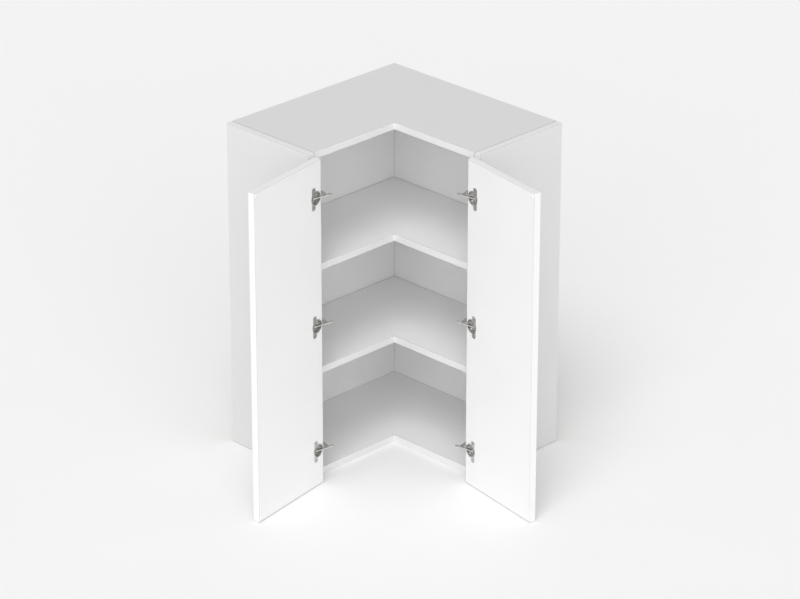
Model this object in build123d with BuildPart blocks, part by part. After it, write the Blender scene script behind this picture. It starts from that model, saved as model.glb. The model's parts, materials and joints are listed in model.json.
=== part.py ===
from build123d import *
import os

# Corner wall cabinet for a kitchen, with an L-shaped plan and two doors, in millimetres.
# The two room walls are the planes X = 0 and Y = 0, and the cabinet fills the quarter between +X and -Y.
# The origin is where both walls meet the plane of the underside. "Right" is the arm along the wall Y = 0,
# as seen by someone who stands in front of the inside corner. The left arm is its mirror image.
# The doors are drawn in their rest position, which is wide open.

# carcase
wall_length = 600          # from the room corner to the outer face of an end panel
carcase_depth = 300        # from a wall to the front of the carcase
carcase_height = 900
board = 18                 # all carcase panels and shelves
edge_band = 1              # banding glued on the visible edges
edge_round = 0.8           # on the outer edges of the banding
back_board = 8
back_setback = 18          # space for the wall rails behind the back panels
groove_depth = 8
groove_play = 0.2
batten_width = 40          # rear corner batten, as deep as the setback

# shelves
lower_shelf_height = 285   # from the underside of the cabinet to the shelf's lower face
hole_pitch = 32
shelf_step_holes = 9       # from the lower shelf's pins to the upper shelf's
shelf_play = 1             # between a shelf and the panels round it
shelf_setback = 2          # behind the front of the carcase
spare_holes = 2            # above and below each shelf pin
pin_radius = 2.5
pin_depth = 7
pin_hole_play = 0.05
pin_head_length = 8
pin_head_width = 10
pin_head_height = 6
pin_row_inset = 37         # row of holes from the front edge, and from the back panel
corner_pin_inset = 70      # pin in a back panel, from the rear inside corner

# doors
door_board = 18
door_gap = 2               # between the carcase and the inner face of a shut door
side_reveal = 1.5          # shut door inside the outer face of the end panel
end_reveal = 1             # shut door inside the top and bottom of the carcase
corner_gap = 3             # between one shut door and the front of the other
open_angle = 170
bumper_radius = 4
bumper_thickness = 1.7
bumper_inset = 9

# hinges: cup in the door, arm on the end panel, and two links between them
hinge_inset = 100          # outer hinges from the ends of the carcase
cup_radius = 17.5
cup_rim_distance = 5       # door edge to the rim of the cup
cup_depth = 11.5
cup_wall = 1.2
cup_play = 0.1
flange_thickness = 1
flange_rim = 1.5           # flange outside the cup
flange_width = 60
flange_length = 14
flange_round = 4.5
flange_notch = 5           # width of the notch that lets the cup link lie flat
screw_spacing = 48         # cup screws
screw_offset = 9.5         # cup screws beyond the centre of the cup
hinge_pin_radius = 1.5
running_play = 0.08        # a pin in a part that turns on it
seat_play = 0.02           # a pin in the part that holds it
slot_play = 0.1            # knuckle pin in the slot of the cup link
cup_pin_edge = 28          # cup pin from the edge of the door
cup_pin_depth = 4          # cup pin below the inner face of the door
arm_pin_inset = 5.5        # arm pin from the inner face of the end panel
arm_pin_forward = 6        # arm pin in front of the carcase
link_half_width = 3
link_core = 1.5            # cup link: half of its thickness
layer_play = 0.4           # between link, link plate, arm cheek and cup lug
link_plate = 1.4
arm_cheek = 1.4
cup_lug = 1.6
arm_web = 1.5
arm_length = 62            # from the front of the carcase back into it
arm_height = 14            # from the mounting plate to the top of the cheeks
arm_tail_height = 9
arm_web_setback = 8
arm_nose_radius = 3.8
plate_thickness = 2.4
plate_position = 37        # from the front edge of the end panel
plate_wing_width = 12
plate_wing_span = 50
plate_screw_spacing = 32
arm_screw_position = 50    # screw that holds the arm on its plate, from the front edge
head_radius = 3.4
head_height = 1.5
stem_radius = 1.7
screw_length = 13
recess_width = 0.8
recess_depth = 0.8
recess_span = 3.6

# fittings that hold the top and the bottom between the end panels
cam_radius = 7.4
cam_play = 0.1
cam_height = 12.4
cam_distance = 24          # cam centre from the end of the panel
cam_inset = 70             # cams from the front and from the wall
bolt_radius = 3.2
bolt_thread_radius = 2.45
bolt_grip = 11             # in the end panel
cam_slot = 7
dowel_radius = 4
dowel_length = 30
dowel_grip = 11
bore_play = 0.05

# wall hangers in the upper rear corners
hanger_width = 18
hanger_depth = 40
hanger_height = 56
hanger_drop = 4            # below the top panel
hook_thickness = 3
hook_width = 14
hook_drop = 20             # lower face of the hook's arm below the top panel
hook_reach = 34            # into the housing
hook_leg = 7               # behind the lip of the rail
hook_play = 0.5
cover_wall = 1.2
cover_room = 1.8           # between the housing and its cover
adjuster_radius = 2.5
adjuster_length = 24
adjuster_spacing = 12
fixing_grip = 11
fixing_spacing = 45
rail_thickness = 2
rail_length = 96
rail_height = 40
rail_lip_gap = 5           # between the wall and the rail's lip
rail_lip = 8
rail_hole_radius = 3
rail_hole_spacing = 64
rail_end_gap = 1           # rail to the end panel
back_slot_play = 2         # round the hook, in the back panel

# frames and places
# front: u runs from the outer face of the right end panel to the corner, v runs out of the carcase, z is up
front = Plane(origin=(wall_length, -carcase_depth, 0), x_dir=(-1, 0, 0), z_dir=(0, 0, 1))
diagonal = Plane(origin=(0, 0, 0), z_dir=(1, 1, 0))
mid_height = Plane.XY.offset(carcase_height / 2)
inner_length = wall_length - board
back_front = back_setback + back_board
swing_axis = Vector(side_reveal, door_gap + door_board)
swing_frame = Plane(origin=front.from_local_coords(swing_axis), x_dir=front.x_dir, z_dir=front.z_dir)
open_door = swing_frame.rotated((0, 0, open_angle))
door_width = inner_length + board - carcase_depth - door_gap - door_board - corner_gap - side_reveal
door_height = carcase_height - 2 * end_reveal
hinge_heights = (hinge_inset, carcase_height / 2, carcase_height - hinge_inset)
shelf_heights = {
    "lower_shelf": lower_shelf_height,
    "upper_shelf": lower_shelf_height + shelf_step_holes * hole_pitch,
}
pin_rows = (-back_front - pin_row_inset, pin_row_inset - carcase_depth)

# The arm link stays parallel to the door, and the cup link turns half as far. With the knuckle placed so,
# the cup link always points at the knuckle pin, which only slides along the link's slot.
arm_pin = Vector(board + arm_pin_inset, arm_pin_forward)
cup_pin = Vector(side_reveal + cup_pin_edge, door_gap + cup_pin_depth)
axis_offset = swing_axis - arm_pin
knuckle = arm_pin + (cup_pin - swing_axis) - axis_offset.rotate(Axis.Z, -open_angle / 2)
knuckle_open = arm_pin + (knuckle - arm_pin).rotate(Axis.Z, open_angle)
cup_pin_open = swing_axis + (cup_pin - swing_axis).rotate(Axis.Z, open_angle)
arm_link_length = (knuckle - arm_pin).length
slot_start = (knuckle - cup_pin).length
slot_end = 2 * axis_offset.length
plate_inner = link_core + layer_play
cheek_inner = plate_inner + link_plate + layer_play
lug_inner = cheek_inner + arm_cheek + layer_play


def save(piece, name):
    piece.label = name
    export_step(piece, f"parts/{name}.step")


def save_pair(piece, name):
    # the piece of the right arm, and its mirror image in the left arm
    save(piece, "right_" + name)
    with BuildPart() as opposite:
        add(piece)
        mirror(about=diagonal, mode=Mode.REPLACE)
    save(opposite.part, "left_" + name)


def block(x_span, y_span, z_span, mode=Mode.ADD):
    # a block between two values on each axis
    middle = [(low + high) / 2 for low, high in (x_span, y_span, z_span)]
    size = [high - low for low, high in (x_span, y_span, z_span)]
    with Locations(tuple(middle)):
        Box(*size, mode=mode)


def l_shape(start, end, front_edge):
    # corner points of an L: start is its distance from both walls, end its reach, front_edge its front
    return [
        (start, -start), (end, -start), (end, -front_edge), (front_edge, -front_edge),
        (front_edge, -end), (start, -end),
    ]


def l_board(start, end, front_edge, bottom):
    with BuildSketch(Plane.XY.offset(bottom)) as outline:
        with BuildLine():
            Polyline(*l_shape(start, end, front_edge), close=True)
        make_face()
    extrude(outline.sketch, amount=board)


def l_band(end, front_edge, bottom):
    # edge banding along the front of an L, from the end of the right arm to the end of the left arm
    start = (end, -front_edge, bottom)
    with BuildLine() as front_line:
        Polyline(start, (front_edge, -front_edge, bottom), (front_edge, -end, bottom))
    with BuildSketch(Plane(origin=start, x_dir=(0, 0, 1), z_dir=(-1, 0, 0))) as section:
        Rectangle(board, edge_band, align=(Align.MIN, Align.MIN))
        fillet(section.vertices().group_by(Axis.Y)[0], radius=edge_round)
    sweep(section.sketch, path=front_line.line, transition=Transition.RIGHT)


def cross_recess(seat):
    with BuildSketch(seat) as cross:
        Rectangle(recess_span, recess_width)
        Rectangle(recess_width, recess_span)
    extrude(cross.sketch, amount=recess_depth, mode=Mode.SUBTRACT)


def screw(seat, length):
    # pan head on the seat plane, stem along its normal, with a cross recess
    with BuildSketch(seat) as head:
        Circle(head_radius)
    extrude(head.sketch, amount=-head_height)
    with BuildSketch(seat) as stem:
        Circle(stem_radius)
    extrude(stem.sketch, amount=length)
    cross_recess(seat.offset(-head_height))


def cup_face(height):
    # on the door's inner face at a cup's centre: x is up, y runs to the free edge, z into the door
    centre = open_door.from_local_coords((cup_rim_distance + cup_radius, -door_board, height))
    return Plane(origin=centre, x_dir=(0, 0, 1), z_dir=open_door.y_dir)


def link_frame(start, end):
    # at one hinge pin, with x towards another, both given in the frame of the front
    origin = front.from_local_coords(start)
    return Plane(origin=origin, x_dir=front.from_local_coords(end) - origin, z_dir=(0, 0, 1))


def both_sides(height, inner, thickness):
    # start heights of a pair of layers that lie above and below a hinge's middle
    return (height + inner, height - inner - thickness)


os.makedirs("parts", exist_ok=True)

# ---- bores for the cam fittings and the dowels of the right arm, top and bottom
top_axis = carcase_height - board / 2
cam_rows = (-cam_inset, cam_inset - carcase_depth)
dowel_row = -carcase_depth / 2
cam_centre = inner_length - cam_distance

with BuildPart() as joint_bores:
    with BuildSketch(Plane.XY.offset(carcase_height - board)):
        with Locations(*[(cam_centre, row) for row in cam_rows]):
            Circle(cam_radius + cam_play)
    extrude(amount=cam_height + cam_play)
    with BuildSketch(Plane.YZ.offset(cam_centre)):
        with Locations(*[(row, top_axis) for row in cam_rows]):
            Circle(bolt_radius + bore_play)
    extrude(amount=cam_distance)
    with BuildSketch(Plane.YZ.offset(inner_length)):
        with Locations(*[(row, top_axis) for row in cam_rows]):
            Circle(bolt_thread_radius + bore_play)
    extrude(amount=bolt_grip)
    with BuildSketch(Plane.YZ.offset(inner_length + dowel_grip - dowel_length)):
        with Locations((dowel_row, top_axis)):
            Circle(dowel_radius + bore_play)
    extrude(amount=dowel_length)
    mirror(about=mid_height)

with BuildPart() as cam_housings:
    with BuildSketch(Plane.XY.offset(carcase_height - board)):
        with Locations(*[(cam_centre, row) for row in cam_rows]):
            Circle(cam_radius)
    extrude(amount=cam_height)
    with BuildSketch(Plane.YZ.offset(cam_centre - cam_slot / 2)):
        with Locations(*[(row, top_axis) for row in cam_rows]):
            Rectangle(cam_slot, cam_slot)
    extrude(amount=cam_distance, mode=Mode.SUBTRACT)
    with BuildSketch(Plane.XY.offset(carcase_height - board)):
        with Locations(*[(cam_centre, row) for row in cam_rows]):
            Rectangle(recess_width * 2, cam_radius)
            Rectangle(cam_radius, recess_width * 2)
    extrude(amount=recess_depth, mode=Mode.SUBTRACT)
    mirror(about=mid_height)
save_pair(cam_housings.part, "cam_housings")

with BuildPart() as cam_bolts:
    with BuildSketch(Plane.YZ.offset(cam_centre)):
        with Locations(*[(row, top_axis) for row in cam_rows]):
            Circle(bolt_radius)
    extrude(amount=cam_distance)
    with BuildSketch(Plane.YZ.offset(inner_length)):
        with Locations(*[(row, top_axis) for row in cam_rows]):
            Circle(bolt_thread_radius)
    extrude(amount=bolt_grip)
    mirror(about=mid_height)
save_pair(cam_bolts.part, "cam_bolts")

with BuildPart() as dowels:
    with BuildSketch(Plane.YZ.offset(inner_length + dowel_grip - dowel_length)):
        with Locations((dowel_row, top_axis)):
            Circle(dowel_radius)
    extrude(amount=dowel_length)
    mirror(about=mid_height)
save_pair(dowels.part, "dowels")

# ---- end panels
groove_span = (-back_front - groove_play / 2, groove_play / 2 - back_setback)
hanger_top = carcase_height - board - hanger_drop
hook_height = carcase_height - board - hook_drop
hanger_middle = -back_front - hanger_depth / 2
fixing_heights = [hanger_top - hanger_height / 2 + side * fixing_spacing / 2 for side in (-1, 1)]
plate_row = plate_position - carcase_depth
arm_screw_row = arm_screw_position - carcase_depth

# the banding covers the front, the top and the bottom of a panel
core_spans = (
    (inner_length, wall_length), (edge_band - carcase_depth, 0), (edge_band, carcase_height - edge_band),
)

with BuildPart() as end_panel:
    block(*core_spans)
    block(
        (inner_length, inner_length + groove_depth), groove_span,
        (board - groove_depth, carcase_height - board + groove_depth), mode=Mode.SUBTRACT,
    )
    add(joint_bores.part, mode=Mode.SUBTRACT)
    with BuildSketch(Plane.YZ.offset(inner_length)):
        for shelf_height in shelf_heights.values():
            for step in range(-spare_holes, spare_holes + 1):
                hole_height = shelf_height - pin_head_height / 2 + step * hole_pitch
                with Locations(*[(row, hole_height) for row in pin_rows]):
                    Circle(pin_radius + pin_hole_play)
    extrude(amount=pin_depth, mode=Mode.SUBTRACT)
    with BuildSketch(Plane.YZ.offset(inner_length)):
        for height in hinge_heights:
            for side in (-1, 1):
                with Locations((plate_row, height + side * plate_screw_spacing / 2)):
                    Circle(stem_radius + bore_play)
    extrude(amount=screw_length - plate_thickness, mode=Mode.SUBTRACT)
    with BuildSketch(Plane.YZ.offset(inner_length)):
        with Locations(*[(hanger_middle, height) for height in fixing_heights]):
            Circle(stem_radius + bore_play)
    extrude(amount=fixing_grip, mode=Mode.SUBTRACT)
save_pair(end_panel.part, "end_panel")

with BuildPart() as end_panel_band:
    block((inner_length, wall_length), (-carcase_depth, 0), (0, carcase_height))
    rear_edges = end_panel_band.edges().group_by(Axis.Y)[-1]
    fillet(end_panel_band.edges() - rear_edges, radius=edge_round)
    block(*core_spans, mode=Mode.SUBTRACT)
save_pair(end_panel_band.part, "end_panel_edge_band")

# ---- top and bottom
for name, bottom, groove_bottom in (
    ("top_panel", carcase_height - board, carcase_height - board),
    ("bottom_panel", 0, board - groove_depth),
):
    groove_height = (groove_bottom, groove_bottom + groove_depth)
    with BuildPart() as floor_panel:
        l_board(0, inner_length, carcase_depth - edge_band, bottom)
        block((back_setback - groove_play / 2, inner_length), groove_span, groove_height, mode=Mode.SUBTRACT)
        block(
            (back_setback - groove_play / 2, back_front + groove_play / 2), (-inner_length, groove_span[0]),
            groove_height, mode=Mode.SUBTRACT,
        )
        add(joint_bores.part, mode=Mode.SUBTRACT)
        mirror(joint_bores.part, about=diagonal, mode=Mode.SUBTRACT)
    save(floor_panel.part, name)
    with BuildPart() as floor_band:
        l_band(inner_length, carcase_depth, bottom)
    save(floor_band.part, name + "_edge_band")

# ---- back panels and the batten that joins them in the corner
back_heights = (board - groove_depth, carcase_height - board + groove_depth)
hook_centre = inner_length - hanger_width / 2
slot_span = (hook_centre - hook_width / 2 - back_slot_play, hook_centre + hook_width / 2 + back_slot_play)
slot_height = (hook_height - back_slot_play, hook_height + hook_thickness + back_slot_play)
shelf_pin_heights = [height - pin_head_height / 2 for height in shelf_heights.values()]
corner_pin = back_front + corner_pin_inset
back_pins = [(corner_pin, height) for height in shelf_pin_heights]

with BuildPart() as back_cuts:
    block(slot_span, (-back_front, -back_setback), slot_height)
    with BuildSketch(Plane.XZ.offset(back_front)):
        with Locations(*back_pins):
            Circle(pin_radius + pin_hole_play)
    extrude(amount=-pin_depth)

with BuildPart() as right_back_panel:
    block((back_setback, inner_length + groove_depth), (-back_front, -back_setback), back_heights)
    add(back_cuts.part, mode=Mode.SUBTRACT)
save(right_back_panel.part, "right_back_panel")

with BuildPart() as left_back_panel:
    block((back_setback, back_front), (-inner_length - groove_depth, -back_front), back_heights)
    mirror(back_cuts.part, about=diagonal, mode=Mode.SUBTRACT)
save(left_back_panel.part, "left_back_panel")

with BuildPart() as rear_corner_batten:
    block((0, batten_width), (-back_setback, 0), (board, carcase_height - board))
save(rear_corner_batten.part, "rear_corner_batten")

# ---- shelves on their pins
for name, shelf_height in shelf_heights.items():
    with BuildPart() as shelf:
        l_board(
            back_front + shelf_play, inner_length - shelf_play,
            carcase_depth - shelf_setback - edge_band, shelf_height,
        )
    save(shelf.part, name)
    with BuildPart() as shelf_band:
        l_band(inner_length - shelf_play, carcase_depth - shelf_setback, shelf_height)
    save(shelf_band.part, name + "_edge_band")

with BuildPart() as shelf_pins:
    end_pins = [(row, height) for row in pin_rows for height in shelf_pin_heights]
    with BuildSketch(Plane.YZ.offset(inner_length)):
        with Locations(*end_pins):
            Circle(pin_radius)
    extrude(amount=pin_depth)
    with BuildSketch(Plane.YZ.offset(inner_length)):
        with Locations(*end_pins):
            Rectangle(pin_head_width, pin_head_height)
    extrude(amount=-pin_head_length)
    with BuildSketch(Plane.XZ.offset(back_front)):
        with Locations(*back_pins):
            Circle(pin_radius)
    extrude(amount=-pin_depth)
    with BuildSketch(Plane.XZ.offset(back_front)):
        with Locations(*back_pins):
            Rectangle(pin_head_width, pin_head_height)
    extrude(amount=pin_head_length)
    mirror(about=diagonal)
save(shelf_pins.part, "shelf_pins")

# ---- doors, drawn wide open
with BuildPart() as cup_bores:
    for height in hinge_heights:
        with BuildSketch(cup_face(height)):
            Circle(cup_radius)
        extrude(amount=cup_depth)
        with BuildSketch(cup_face(height)):
            with Locations((-screw_spacing / 2, screw_offset), (screw_spacing / 2, screw_offset)):
                Circle(stem_radius + bore_play)
        extrude(amount=screw_length - flange_thickness)

with BuildPart() as door:
    with BuildSketch(open_door.offset(end_reveal + edge_band)):
        with Locations((edge_band, 0)):
            Rectangle(door_width - 2 * edge_band, door_board, align=(Align.MIN, Align.MAX))
    extrude(amount=door_height - 2 * edge_band)
    add(cup_bores.part, mode=Mode.SUBTRACT)
save_pair(door.part, "door")

with BuildPart() as door_band:
    with BuildSketch(open_door.offset(end_reveal)):
        Rectangle(door_width, door_board, align=(Align.MIN, Align.MAX))
    extrude(amount=door_height)
    fillet(door_band.edges(), radius=edge_round)
    with BuildSketch(open_door.offset(end_reveal + edge_band)):
        with Locations((edge_band, 0)):
            Rectangle(door_width - 2 * edge_band, door_board, align=(Align.MIN, Align.MAX))
    extrude(amount=door_height - 2 * edge_band, mode=Mode.SUBTRACT)
save_pair(door_band.part, "door_edge_band")

bumper_heights = (end_reveal + bumper_inset, carcase_height - end_reveal - bumper_inset)
with BuildPart() as bumpers:
    for height in bumper_heights:
        place = open_door.from_local_coords((door_width - bumper_inset, -door_board, height))
        with BuildSketch(Plane(origin=place, x_dir=(0, 0, 1), z_dir=-open_door.y_dir)):
            Circle(bumper_radius)
        extrude(amount=bumper_thickness)
save_pair(bumpers.part, "door_bumpers")

# ---- hinges
cup_floor = cup_depth - cup_wall
pin_in_door = (cup_pin_edge, cup_pin_depth - door_board)

with BuildPart() as cups:
    for height in hinge_heights:
        face = cup_face(height)
        with BuildSketch(face):
            Circle(cup_radius + flange_rim)
            with Locations((0, screw_offset)):
                RectangleRounded(flange_width, flange_length, flange_round)
        extrude(amount=-flange_thickness)
        with BuildSketch(face):
            Circle(cup_radius - cup_play)
        extrude(amount=cup_depth - cup_play)
        with BuildSketch(face.offset(-flange_thickness)):
            Circle(cup_radius - cup_play - cup_wall)
            Rectangle(flange_notch, cup_radius * 2, align=(Align.CENTER, Align.MAX))
        extrude(amount=flange_thickness, mode=Mode.SUBTRACT)
        with BuildSketch(face):
            Circle(cup_radius - cup_play - cup_wall)
        extrude(amount=cup_floor, mode=Mode.SUBTRACT)
        for lug_start in both_sides(height, lug_inner, cup_lug):
            with BuildSketch(open_door.offset(lug_start)):
                with Locations(pin_in_door):
                    Circle(link_half_width)
                    Rectangle(
                        2 * link_half_width, cup_floor - cup_pin_depth + cup_wall / 2,
                        align=(Align.CENTER, Align.MIN),
                    )
                    Circle(hinge_pin_radius + seat_play, mode=Mode.SUBTRACT)
            extrude(amount=cup_lug)
        with BuildSketch(face.offset(-flange_thickness)):
            with Locations((-screw_spacing / 2, screw_offset), (screw_spacing / 2, screw_offset)):
                Circle(stem_radius + bore_play)
        extrude(amount=flange_thickness, mode=Mode.SUBTRACT)
save_pair(cups.part, "hinge_cups")

with BuildPart() as cup_screws:
    for height in hinge_heights:
        for side in (-1, 1):
            seat = cup_face(height).offset(-flange_thickness)
            place = seat.from_local_coords((side * screw_spacing / 2, screw_offset))
            screw(Plane(origin=place, x_dir=seat.x_dir, z_dir=seat.z_dir), screw_length)
save_pair(cup_screws.part, "hinge_cup_screws")

with BuildPart() as cup_pins:
    for height in hinge_heights:
        with BuildSketch(open_door.offset(height)):
            with Locations(pin_in_door):
                Circle(hinge_pin_radius)
        extrude(amount=lug_inner + cup_lug, both=True)
save_pair(cup_pins.part, "hinge_cup_pins")

with BuildPart() as plates:
    for height in hinge_heights:
        with BuildSketch(front.offset(height)):
            with Locations((board, -plate_position)):
                Rectangle(plate_thickness, plate_wing_width, align=(Align.MIN, Align.CENTER))
        extrude(amount=plate_wing_span / 2, both=True)
        with BuildSketch(front.offset(height)):
            with Locations((board, -arm_web_setback)):
                Rectangle(plate_thickness, arm_length - arm_web_setback, align=(Align.MIN, Align.MAX))
        extrude(amount=cheek_inner + arm_cheek, both=True)
    with BuildSketch(Plane.YZ.offset(inner_length)):
        for height in hinge_heights:
            for side in (-1, 1):
                with Locations((plate_row, height + side * plate_screw_spacing / 2)):
                    Circle(stem_radius + bore_play)
            with Locations((arm_screw_row, height)):
                Circle(stem_radius + bore_play)
    extrude(amount=-plate_thickness, mode=Mode.SUBTRACT)
save_pair(plates.part, "hinge_plates")

with BuildPart() as plate_screws:
    for height in hinge_heights:
        for side in (-1, 1):
            place = (inner_length - plate_thickness, plate_row, height + side * plate_screw_spacing / 2)
            screw(Plane(origin=place, x_dir=(0, 0, 1), z_dir=(1, 0, 0)), screw_length)
save_pair(plate_screws.part, "hinge_plate_screws")

arm_floor = board + plate_thickness
with BuildPart() as arms:
    for height in hinge_heights:
        with BuildSketch(front.offset(height)):
            with Locations((arm_floor, -arm_web_setback)):
                Rectangle(arm_web, arm_length - arm_web_setback, align=(Align.MIN, Align.MAX))
        extrude(amount=cheek_inner + arm_cheek, both=True)
        with BuildSketch(Plane.YZ.offset(inner_length - plate_thickness)):
            with Locations((arm_screw_row, height)):
                Circle(stem_radius + bore_play)
        extrude(amount=-arm_web, mode=Mode.SUBTRACT)
        for cheek_start in both_sides(height, cheek_inner, arm_cheek):
            with BuildSketch(front.offset(cheek_start)):
                with BuildLine():
                    Polyline(
                        (arm_floor, -arm_length), (arm_floor + arm_tail_height, -arm_length),
                        (arm_floor + arm_height, -plate_position), (arm_floor + arm_height, -arm_web_setback),
                        (arm_pin.X + arm_nose_radius, arm_pin.Y), (arm_pin.X, arm_pin.Y),
                        (arm_pin.X - arm_nose_radius, arm_pin.Y), (arm_floor, -arm_web_setback), close=True,
                    )
                make_face()
                with Locations(arm_pin):
                    Circle(arm_nose_radius)
                    Circle(hinge_pin_radius + seat_play, mode=Mode.SUBTRACT)
            extrude(amount=arm_cheek)
save_pair(arms.part, "hinge_arms")

with BuildPart() as arm_screws:
    for height in hinge_heights:
        place = (inner_length - plate_thickness - arm_web, arm_screw_row, height)
        screw(Plane(origin=place, x_dir=(0, 0, 1), z_dir=(1, 0, 0)), arm_web + plate_thickness)
save_pair(arm_screws.part, "hinge_arm_screws")

with BuildPart() as arm_pins:
    for height in hinge_heights:
        for pin_start in both_sides(height, plate_inner, cheek_inner + arm_cheek - plate_inner):
            with BuildSketch(front.offset(pin_start)):
                with Locations(arm_pin):
                    Circle(hinge_pin_radius)
            extrude(amount=cheek_inner + arm_cheek - plate_inner)
save_pair(arm_pins.part, "hinge_arm_pins")

arm_link = link_frame(arm_pin, knuckle_open)
with BuildPart() as arm_links:
    for height in hinge_heights:
        for plate_start in both_sides(height, plate_inner, link_plate):
            with BuildSketch(arm_link.offset(plate_start)):
                with Locations((arm_link_length / 2, 0)):
                    SlotCenterToCenter(arm_link_length, 2 * link_half_width)
                Circle(hinge_pin_radius + running_play, mode=Mode.SUBTRACT)
                with Locations((arm_link_length, 0)):
                    Circle(hinge_pin_radius + seat_play, mode=Mode.SUBTRACT)
            extrude(amount=link_plate)
save_pair(arm_links.part, "hinge_arm_links")

with BuildPart() as knuckle_pins:
    for height in hinge_heights:
        with BuildSketch(arm_link.offset(height)):
            with Locations((arm_link_length, 0)):
                Circle(hinge_pin_radius)
        extrude(amount=plate_inner + link_plate, both=True)
save_pair(knuckle_pins.part, "hinge_knuckle_pins")

cup_link = link_frame(cup_pin_open, knuckle_open)
with BuildPart() as cup_links:
    for height in hinge_heights:
        with BuildSketch(cup_link.offset(height)):
            with Locations((slot_end / 2, 0)):
                SlotCenterToCenter(slot_end, 2 * link_half_width)
            Circle(hinge_pin_radius + running_play, mode=Mode.SUBTRACT)
            with Locations(((slot_start + slot_end) / 2, 0)):
                SlotCenterToCenter(
                    slot_end - slot_start + 2 * slot_play, 2 * (hinge_pin_radius + slot_play),
                    mode=Mode.SUBTRACT,
                )
        extrude(amount=link_core, both=True)
save_pair(cup_links.part, "hinge_cup_links")

# ---- wall hangers and the rails that they hang on
hanger_inner = inner_length - hanger_width
hanger_front = -back_front - hanger_depth
hanger_bottom = hanger_top - hanger_height
adjuster_top = hook_height - adjuster_spacing

with BuildPart() as hanger_housing:
    block((hanger_inner, inner_length), (hanger_front, -back_front), (hanger_bottom, hanger_top))
    fillet(hanger_housing.edges().filter_by(Axis.X), radius=cover_wall)
    block(
        (hook_centre - hook_width / 2 - hook_play, hook_centre + hook_width / 2 + hook_play),
        (-back_front - hook_reach - hook_play, -back_front),
        (hook_height, hook_height + hook_thickness + hook_play), mode=Mode.SUBTRACT,
    )
    with BuildSketch(Plane.XZ.offset(-hanger_front)):
        for step in (0, 1):
            with Locations((hook_centre, adjuster_top - step * adjuster_spacing)):
                Circle(adjuster_radius + bore_play)
    extrude(amount=-adjuster_length, mode=Mode.SUBTRACT)
    with BuildSketch(Plane.YZ.offset(hanger_inner)):
        with Locations(*[(hanger_middle, height) for height in fixing_heights]):
            Circle(stem_radius + bore_play)
    extrude(amount=hanger_width, mode=Mode.SUBTRACT)
save_pair(hanger_housing.part, "hanger_housing")

with BuildPart() as hanger_hook:
    with BuildSketch(Plane.YZ.offset(hook_centre - hook_width / 2)):
        with BuildLine():
            Polyline(
                (-back_front - hook_reach, hook_height), (hook_play - rail_lip_gap, hook_height),
                (hook_play - rail_lip_gap, hook_height - hook_leg),
                (hook_play - rail_lip_gap + hook_thickness, hook_height - hook_leg),
                (hook_play - rail_lip_gap + hook_thickness, hook_height + hook_thickness),
                (-back_front - hook_reach, hook_height + hook_thickness), close=True,
            )
        make_face()
    extrude(amount=hook_width)
save_pair(hanger_hook.part, "hanger_hook")

with BuildPart() as hanger_screws:
    for height in fixing_heights:
        place = (hanger_inner, hanger_middle, height)
        screw(Plane(origin=place, x_dir=(0, 0, 1), z_dir=(1, 0, 0)), hanger_width + fixing_grip)
    for step in (0, 1):
        place = (hook_centre, hanger_front, adjuster_top - step * adjuster_spacing)
        adjuster = Plane(origin=place, x_dir=(1, 0, 0), z_dir=(0, 1, 0))
        with BuildSketch(adjuster):
            Circle(adjuster_radius)
        extrude(amount=adjuster_length)
        cross_recess(adjuster)
save_pair(hanger_screws.part, "hanger_screws")

cover_out = cover_room + cover_wall
with BuildPart() as hanger_cover:
    block(
        (hanger_inner - cover_out, inner_length), (hanger_front - cover_out, -back_front),
        (hanger_bottom - cover_out, hanger_top + cover_out),
    )
    fillet(hanger_cover.faces().sort_by(Axis.X)[0].edges().group_by(Axis.Y)[0], radius=cover_wall)
    block(
        (hanger_inner - cover_room, inner_length), (hanger_front - cover_room, -back_front),
        (hanger_bottom - cover_room, hanger_top + cover_room), mode=Mode.SUBTRACT,
    )
save_pair(hanger_cover.part, "hanger_cover")

rail_end = inner_length - rail_end_gap
rail_step = hook_height - rail_lip
with BuildPart() as wall_rail:
    with BuildSketch(Plane.YZ.offset(rail_end - rail_length)):
        with BuildLine():
            Polyline(
                (0, rail_step - rail_height), (0, rail_step), (-rail_lip_gap, rail_step),
                (-rail_lip_gap, hook_height), (-rail_lip_gap - rail_thickness, hook_height),
                (-rail_lip_gap - rail_thickness, rail_step - rail_thickness),
                (-rail_thickness, rail_step - rail_thickness),
                (-rail_thickness, rail_step - rail_height), close=True,
            )
        make_face()
    extrude(amount=rail_length)
    with BuildSketch(Plane.XZ):
        with Locations((rail_end - rail_length / 2, rail_step - rail_thickness / 2 - rail_height / 2)):
            with GridLocations(rail_hole_spacing, 0, 2, 1):
                Circle(rail_hole_radius)
    extrude(amount=rail_thickness, mode=Mode.SUBTRACT)
save_pair(wall_rail.part, "wall_rail")
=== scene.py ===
import json
import math
import bmesh
import bpy
from mathutils import Matrix, Vector

# Corner wall cabinet: finishes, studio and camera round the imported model. Metres, in the model's own frame.
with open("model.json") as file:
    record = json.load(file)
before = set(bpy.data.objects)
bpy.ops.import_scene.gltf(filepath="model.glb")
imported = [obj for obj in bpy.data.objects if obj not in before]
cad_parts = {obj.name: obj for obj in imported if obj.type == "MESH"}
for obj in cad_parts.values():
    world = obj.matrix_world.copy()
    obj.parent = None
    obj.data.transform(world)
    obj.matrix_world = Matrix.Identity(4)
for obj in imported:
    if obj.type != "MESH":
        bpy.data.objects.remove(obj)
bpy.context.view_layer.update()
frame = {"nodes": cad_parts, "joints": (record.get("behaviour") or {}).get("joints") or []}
nodes = frame["nodes"]
print("frame loaded:", len(nodes), "nodes")


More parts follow.
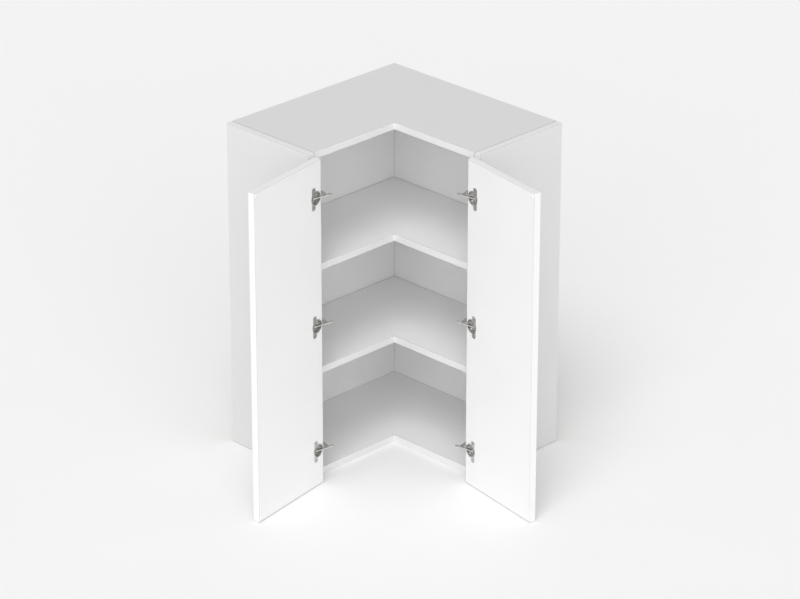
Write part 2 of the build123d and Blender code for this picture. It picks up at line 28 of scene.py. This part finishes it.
# shader maths: a socket that can be used in sums
class Wire:
    def __init__(self, finish, socket):
        self.finish = finish
        self.socket = socket

    def sum(self, operation, *values):
        return self.finish.sum(operation, *values)

    def __add__(self, other):
        return self.sum("ADD", self, other)

    def __radd__(self, other):
        return self.sum("ADD", other, self)

    def __sub__(self, other):
        return self.sum("SUBTRACT", self, other)

    def __rsub__(self, other):
        return self.sum("SUBTRACT", other, self)

    def __mul__(self, other):
        return self.sum("MULTIPLY", self, other)

    def __rmul__(self, other):
        return self.sum("MULTIPLY", other, self)

    def __gt__(self, other):
        return self.sum("GREATER_THAN", self, other)


class Finish:
    # one material: every node but the shader and the output comes from add()
    def __init__(self, name):
        self.material = bpy.data.materials.new(name)
        self.material.use_nodes = True
        self.tree = self.material.node_tree
        self.shader = self.tree.nodes["Principled BSDF"]
        self.place = self.add("TexCoord", {}, out="Object")

    def add(self, kind, settings, values=(), out=0):
        # the values are numbers or wires, in the order of the sockets or by the socket's name
        node = self.tree.nodes.new("ShaderNode" + kind)
        for key, value in settings.items():
            setattr(node, key, value)
        pairs = values.items() if isinstance(values, dict) else enumerate(values)
        for key, value in pairs:
            self.feed(node.inputs[key], value)
        return Wire(self, node.outputs[out])

    def feed(self, socket, value):
        if isinstance(value, Wire):
            self.tree.links.new(value.socket, socket)
        else:
            socket.default_value = value

    def sum(self, operation, *values):
        return self.add("Math", {"operation": operation}, values)

    def along(self, direction):
        # how far a point lies along a direction, in metres
        return self.add("VectorMath", {"operation": "DOT_PRODUCT"}, [self.place, direction], out="Value")

    def moved(self, stretch, turn=(0, 0, 0)):
        # along each axis, a number under 1 draws the grain out and one over 1 squeezes it
        if not stretch:
            return self.place
        return self.add("Mapping", {}, {"Vector": self.place, "Scale": stretch, "Rotation": turn})

    def noise(self, grain, detail=2, rough=0.5, stretch=None):
        # grain: spots in a metre, so more is finer
        values = {"Vector": self.moved(stretch), "Scale": grain, "Detail": detail, "Roughness": rough}
        return self.add("TexNoise", {}, values, out="Fac")

    def cells(self, grain, stretch=None, turn=(0, 0, 0)):
        # a shade for each cell, such as a flake or a crystal
        values = {"Vector": self.moved(stretch, turn), "Scale": grain}
        colour = self.add("TexVoronoi", {}, values, out="Color")
        return self.add("SeparateColor", {}, [colour])

    def range(self, value, low, high, fromLow=0.0, fromHigh=1.0):
        values = {"Value": value, "From Min": fromLow, "From Max": fromHigh, "To Min": low, "To Max": high}
        return self.add("MapRange", {}, values)

    def mix(self, share, first, second):
        # colours: sockets 6 and 7 are the colour pair of the Mix node, and output 2 its colour
        return self.add("Mix", {"data_type": "RGBA"}, {0: share, 6: first, 7: second}, out=2)

    def grey(self, value):
        return self.add("CombineColor", {}, [value, value, value])

    def bump(self, height, strength, depth):
        values = {"Height": height, "Strength": strength, "Distance": depth}
        return self.add("Bump", {}, values, out="Normal")

    def set(self, **values):
        # spaces in the shader's socket names are written as underscores
        for key, value in values.items():
            self.feed(self.shader.inputs[key.replace("_", " ")], value)
        return self.material


def blend(first, second, share):
    # the share is that of the first
    return first * share + second * (1 - share)


def cover(material, *names):
    # gives a material to the slots of CAD nodes
    for name in names:
        slots = nodes[name].data.materials
        slots.clear()
        slots.append(material)


def pair(*names):
    return [side + "_" + name for side in ("right", "left") for name in names]


# directions: along both walls, up, and from the hinges of each open door to its free edge.
# The doors stand open as far as their hinges go, so the joint's range gives their turn.
wallX = Vector((1, 0, 0))
wallY = Vector((0, -1, 0))
up = Vector((0, 0, 1))
swing = next(joint for joint in frame["joints"] if joint["name"] == "right_door_swing")
doorTurn = math.radians(-swing["range_deg"][0])
rightDoorway = Matrix.Rotation(doorTurn, 3, "Z") @ -wallX
leftDoorway = Vector((-rightDoorway.y, -rightDoorway.x, 0))

# melamine-faced chipboard: the faces, the core between them, and the joint lines, which are painted shadow in
# the joints with a glue line
melamine = {
    "outerShade": 0.72, "innerShadeWithPaintedLift": 0.90, "doorShade": 0.88, "doorFrontDimmedShade": 0.80,
    "cloud": {"grain": 9, "detail": 3}, "cloudShade": (0.985, 1.015),
    "speck": {"grain": 1700, "detail": 1}, "speckShade": (0.985, 1.012),
    "smear": {"grain": 14, "stretch": (1, 1, 0.35)}, "roughness": (0.38, 0.46),
    "pearl": {"grain": 1100, "detail": 1}, "bump": {"strength": 0.35, "depth": 0.00002}, "skin": 0.00025,
}
chipboard = {
    "flake": {"grain": 560, "stretch": (1, 1, 1.7), "turn": (0.3, 0.2, 0)}, "flakeShare": 0.6,
    "dust": {"grain": 2200, "detail": 3}, "pale": (0.62, 0.46, 0.29), "dark": (0.34, 0.22, 0.12),
    "rougher": 0.4, "relief": 6,
}
# joint lines: painted shadow in the joints, partly a glue line; shade is the share of colour left on the line
seam = {"width": 0.0012, "shade": 0.3}


def reach(node, direction):
    # where a node starts and ends along a direction
    places = [vertex.co.dot(direction) for vertex in nodes[node].data.vertices]
    return min(places), max(places)


def ends(node, *ways):
    # joint lines at the ends of a node
    return [(node, way) for way in ways]


def seamShadowAndGlue(finish, lines, banded=None):
    # the fine dark line where a board meets the next board or its banding: painted shadow in the joint,
    # partly a glue line
    gaps = [finish.sum("ABSOLUTE", finish.along(way) - reach(node, way)[1]) for node, way in lines]
    if banded:
        # along both front edges of an L, where its band starts
        front = reach(banded, wallX)[0]
        gaps.append(finish.sum("MAXIMUM", front - finish.along(wallX), front - finish.along(wallY)))
    gap = gaps[0]
    for other in gaps[1:]:
        gap = finish.sum("MINIMUM", gap, other)
    return finish.range(gap, seam["shade"], 1, 0, seam["width"])


def melamineColour(finish, shade):
    # very quiet mottling, as in printed paper under resin
    cloud = finish.range(finish.noise(**melamine["cloud"]), *melamine["cloudShade"])
    speck = finish.range(finish.noise(**melamine["speck"]), *melamine["speckShade"])
    return finish.grey(cloud * speck * shade)


def melamineFinish(node, across, shade, outerShade, lines, banded=None):
    # across points to the board's outer side, and raw is 1 in the core between the two faces
    finish = Finish(node + "_melamine")
    start, end = reach(node, across)
    depth = finish.along(across)
    outside = depth > (start + end) / 2
    # a board's two sides differ in shade as painted light: the carcase's inside is lifted against its shade,
    # a door's front dimmed against the lamps
    face = (outside * (outerShade - shade) + shade) * seamShadowAndGlue(finish, lines, banded)
    raw = finish.sum("MINIMUM", depth - start, end - depth) > melamine["skin"]
    dust = finish.noise(**chipboard["dust"])
    flake = blend(finish.cells(**chipboard["flake"]), dust, chipboard["flakeShare"])
    core = finish.mix(flake, (*chipboard["dark"], 1), (*chipboard["pale"], 1))
    smear = finish.range(finish.noise(**melamine["smear"]), *melamine["roughness"])
    height = finish.noise(**melamine["pearl"]) + raw * flake * chipboard["relief"]
    return finish.set(
        Base_Color=finish.mix(raw, melamineColour(finish, face), core),
        Roughness=smear + raw * chipboard["rougher"],
        Normal=finish.bump(height, **melamine["bump"]),
    )


# for each board: the direction to its outer side, and the lines where a joint shows as a painted shadow and
# glue line
backJointShadowLines = ends("bottom_panel", up) + ends("top_panel", -up)
boards = {
    "top_panel": (up, ends("top_panel", wallX, wallY)),
    "bottom_panel": (-up, ends("bottom_panel", wallX, wallY)),
    "right_end_panel": (wallX, ends("right_end_panel", wallY, up, -up)),
    "left_end_panel": (wallY, ends("left_end_panel", wallX, up, -up)),
    "right_back_panel": (-wallY, backJointShadowLines + ends("right_end_panel", -wallX)),
    "left_back_panel": (-wallX, backJointShadowLines + ends("left_end_panel", -wallY) + ends("left_back_panel", -wallY)),
}
# the carcase's inner faces are whiter than its outer ones: painted light that lifts the shade inside the
# cabinet
inner = melamine["innerShadeWithPaintedLift"]
for name, (across, lines) in boards.items():
    banded = name + "_edge_band" if across.z else None
    cover(melamineFinish(name, across, inner, melamine["outerShade"], lines, banded), name)
for name in ("lower_shelf", "upper_shelf"):
    lines = ends(name, wallX, wallY, -wallX, -wallY)
    cover(melamineFinish(name, up, inner, inner, lines, name + "_edge_band"), name)

# for each door: the directions from its hinges to its free edge, and to its front
doors = {
    "right_door": (rightDoorway, up.cross(rightDoorway)),
    "left_door": (leftDoorway, leftDoorway.cross(up)),
}
# a door's front is greyer than its inner face: painted shade, so that a shut door does not wash out under the
# lamps
for name, (across, front) in doors.items():
    lines = ends(name, across, -across, up, -up)
    cover(melamineFinish(name, front, melamine["doorShade"], melamine["doorFrontDimmedShade"], lines), name)
print("boards finished")


# edge banding: a shade between a board's two sides, a little smoother, with faint level streaks
banding = {
    "carcaseShade": 0.80, "doorShade": 0.85, "streak": {"grain": 260, "stretch": (0.06, 0.06, 1)},
    "streakShade": (0.985, 1.01), "roughness": (0.33, 0.4), "bump": {"strength": 0.2, "depth": 0.00002},
}


def bandFinish(name, shade, node=None):
    # a node is given where the band's two ends meet the end panels, for the painted joint shadow there
    finish = Finish(name)
    streak = finish.noise(**banding["streak"])
    if node:
        shade = seamShadowAndGlue(finish, ends(node, wallX, wallY)) * shade
    return finish.set(
        Base_Color=finish.grey(finish.range(streak, *banding["streakShade"]) * shade),
        Roughness=finish.range(streak, *banding["roughness"]),
        Normal=finish.bump(streak, **banding["bump"]),
    )


plainBands = [name + "_edge_band" for name in ("lower_shelf", "upper_shelf", *pair("end_panel"))]
cover(bandFinish("carcase_banding", banding["carcaseShade"]), *plainBands)
for name in ("top", "bottom"):
    band = name + "_panel_edge_band"
    cover(bandFinish(name + "_banding", banding["carcaseShade"], band), band)
# the door banding is darker than the doors' inner faces: painted shade, so that the free edges, which face
# the lamps, do not wash out
cover(bandFinish("door_banding", banding["doorShade"]), *pair("door_edge_band"))
print("edge banding finished")


# wood of the batten and the dowels, with its fibres upright, as they run in the batten
wood = {
    "ringWay": Vector((0.9, 0.35, 0)), "ringShare": 0.65,
    "drift": {"grain": 5, "stretch": (1, 1, 0.12)}, "driftReach": 0.03,
    "fibre": {"grain": 900, "detail": 3, "rough": 0.6, "stretch": (1, 1, 0.02)},
    "roughness": (0.5, 0.7), "bump": {"strength": 0.5, "depth": 0.0001},
}
pine = {"early": (0.72, 0.52, 0.30), "late": (0.50, 0.30, 0.14), "rings": 1500}
beech = {"early": (0.66, 0.44, 0.26), "late": (0.56, 0.35, 0.19), "rings": 4200}


def woodFinish(name, early, late, rings):
    # rings: radians of the ring pattern in a metre
    finish = Finish(name)
    drift = finish.noise(**wood["drift"]) * wood["driftReach"]
    wave = finish.sum("SINE", (finish.along(wood["ringWay"]) + drift) * rings)
    fibre = finish.noise(**wood["fibre"])
    shade = blend(finish.range(wave, 0, 1, -1, 1), fibre, wood["ringShare"])
    return finish.set(
        Base_Color=finish.mix(shade, (*early, 1), (*late, 1)),
        Roughness=finish.range(fibre, *wood["roughness"]),
        Normal=finish.bump(shade, **wood["bump"]),
    )


cover(woodFinish("batten_pine", **pine), "rear_corner_batten")
cover(woodFinish("dowel_beech", **beech), *pair("dowels"))
print("wood finished")


# plated and cast metals
metals = {
    "nickel_plate": {"colour": (0.70, 0.69, 0.67), "roughness": (0.2, 0.34), "grain": 700, "depth": 0.00001},
    "zinc_plate": {"colour": (0.60, 0.62, 0.63), "roughness": (0.26, 0.44), "grain": 900, "depth": 0.00001},
    "die_cast_zinc": {"colour": (0.47, 0.48, 0.49), "roughness": (0.4, 0.6), "grain": 1600, "depth": 0.00004},
}
metalWear = {
    "scratch": {"detail": 3, "rough": 0.65, "stretch": (0.15, 0.15, 1)}, "scratchShare": 0.6, "strength": 0.4,
    "stain": {"grain": 60, "detail": 3}, "stained": (0.35, 0.75), "dull": 0.82, "worn": (0.3, 0.7),
}


def metalFinish(name):
    finish = Finish(name)
    metal = metals[name]
    scratch = finish.noise(metal["grain"], **metalWear["scratch"])
    stain = finish.noise(**metalWear["stain"])
    stained = finish.range(stain, 0, 1, *metalWear["stained"])
    wear = blend(scratch, stain, metalWear["scratchShare"])
    dull = [part * metalWear["dull"] for part in metal["colour"]]
    return finish.set(
        Base_Color=finish.mix(stained, (*metal["colour"], 1), (*dull, 1)),
        Metallic=1.0,
        Roughness=finish.range(wear, *metal["roughness"], *metalWear["worn"]),
        Normal=finish.bump(scratch, metalWear["strength"], metal["depth"]),
    )


hingeSteel = ("hinge_cups", "hinge_arms", "hinge_plates", "hinge_arm_links", "hinge_cup_links")
fasteners = (
    "hinge_cup_screws", "hinge_plate_screws", "hinge_arm_screws", "hinge_cup_pins", "hinge_arm_pins",
    "hinge_knuckle_pins", "hanger_screws",
)
cover(metalFinish("nickel_plate"), "shelf_pins", *pair(*hingeSteel))
cover(metalFinish("zinc_plate"), *pair(*fasteners))
cover(metalFinish("die_cast_zinc"), *pair("cam_housings", "cam_bolts"))

# galvanised steel: zinc crystals a few millimetres across
galvanised = {
    "spangle": {"grain": 160}, "spangleShare": 0.7, "relief": 0.5, "fine": {"grain": 1200},
    "dark": (0.50, 0.52, 0.54), "pale": (0.62, 0.64, 0.66), "roughness": (0.3, 0.5),
    "bump": {"strength": 0.2, "depth": 0.00003},
}


def galvanisedFinish():
    finish = Finish("galvanised_steel")
    spangle = finish.cells(**galvanised["spangle"])
    fine = finish.noise(**galvanised["fine"])
    return finish.set(
        Base_Color=finish.mix(spangle, (*galvanised["dark"], 1), (*galvanised["pale"], 1)),
        Metallic=1.0,
        Roughness=finish.range(blend(spangle, fine, galvanised["spangleShare"]), *galvanised["roughness"]),
        Normal=finish.bump(spangle * galvanised["relief"] + fine, **galvanised["bump"]),
    )


cover(galvanisedFinish(), *pair("wall_rail", "hanger_hook"))
print("metals finished")


# plastics
plastic = {
    "skin": {"grain": 1500}, "cloud": {"grain": 35}, "cloudShade": (0.98, 1.01),
    "bump": {"strength": 0.3, "depth": 0.00003},
}
hardPlastic = {"shade": 0.78, "roughness": (0.37, 0.47)}
softPlastic = {"shade": 0.88, "roughness": (0.3, 0.4)}


def plasticFinish(name, shade, roughness):
    finish = Finish(name)
    skin = finish.noise(**plastic["skin"])
    cloud = finish.range(finish.noise(**plastic["cloud"]), *plastic["cloudShade"])
    return finish.set(
        Base_Color=finish.grey(cloud * shade),
        Roughness=finish.range(skin, *roughness),
        Normal=finish.bump(skin, **plastic["bump"]),
    )


cover(plasticFinish("white_plastic", **hardPlastic), *pair("hanger_housing", "hanger_cover"))
cover(plasticFinish("soft_bumper", **softPlastic), *pair("door_bumpers"))
print("plastics finished")


# studio: a pale floor just under the cabinet, and soft light
ground = {
    "size": 60, "drop": 0.0005, "shade": 0.95, "roughness": 0.9,
    "cloud": {"grain": 3, "detail": 3}, "cloudShade": (0.995, 1.005),
}
lights = [
    {"name": "key", "azimuth": 28, "elevation": 60, "spread": 30, "power": 0.95, "gloss": True},
    {"name": "fill", "azimuth": 45, "elevation": 20, "spread": 60, "power": 1.5, "gloss": False},
]
lampDistance = 3
sky = {"Color": (1, 1, 1, 1), "Strength": 0.53}

# the drawing is nearly a parallel projection, so the lens is long and the camera far away
cameraView = {
    "aim": (0.2, -0.2, 0.3444), "azimuth": 45, "elevation": 24.467, "distance": 10.0, "lens": 171.45,
    "shift": (0.007, 0), "farthest": 200,
}


def makeFloor():
    shape = bmesh.new()
    bmesh.ops.create_grid(shape, x_segments=1, y_segments=1, size=ground["size"] / 2)
    bmesh.ops.translate(shape, verts=shape.verts, vec=(0, 0, -ground["drop"]))
    mesh = bpy.data.meshes.new("studio_floor")
    shape.to_mesh(mesh)
    shape.free()
    floor = bpy.data.objects.new("studio_floor", mesh)
    bpy.context.scene.collection.objects.link(floor)
    finish = Finish("floor_paint")
    cloud = finish.range(finish.noise(**ground["cloud"]), *ground["cloudShade"])
    finish.set(Base_Color=finish.grey(cloud * ground["shade"]), Roughness=ground["roughness"])
    mesh.materials.append(finish.material)


def outward(azimuth, elevation):
    # direction from the cabinet: azimuth 0 is in front of the wall Y = 0, and 90 in front of the wall X = 0
    turn = math.radians(azimuth)
    rise = math.radians(elevation)
    return Vector((math.sin(turn) * math.cos(rise), -math.cos(turn) * math.cos(rise), math.sin(rise)))


def aimAt(thing, aim, back, distance):
    # puts a lamp or the camera that far back from the aim, and turns it to it
    thing.location = Vector(aim) + back * distance
    thing.rotation_euler = (-back).to_track_quat("-Z", "Y").to_euler()
    bpy.context.scene.collection.objects.link(thing)


def makeLight(name, azimuth, elevation, spread, power, gloss):
    # a distant soft lamp, so that the floor is lit evenly; the low one leaves no glare on the top panel
    data = bpy.data.lights.new(name, "SUN")
    data.angle = math.radians(spread)
    data.energy = power
    light = bpy.data.objects.new(name, data)
    light.visible_glossy = gloss
    aimAt(light, (0, 0, 0), outward(azimuth, elevation), lampDistance)


def makeSky():
    world = bpy.data.worlds.new("studio_air")
    world.use_nodes = True
    for key, value in sky.items():
        world.node_tree.nodes["Background"].inputs[key].default_value = value
    bpy.context.scene.world = world
    bpy.context.scene.view_settings.view_transform = "Standard"  # keeps the whites as bright as they are lit


def makeCamera():
    data = bpy.data.cameras.new("view")
    data.lens = cameraView["lens"]
    data.shift_x, data.shift_y = cameraView["shift"]
    data.clip_end = cameraView["farthest"]
    camera = bpy.data.objects.new("view", data)
    back = outward(cameraView["azimuth"], cameraView["elevation"])
    aimAt(camera, cameraView["aim"], back, cameraView["distance"])
    bpy.context.scene.camera = camera


makeFloor()
for light in lights:
    makeLight(**light)
makeSky()
makeCamera()
print("studio ready")
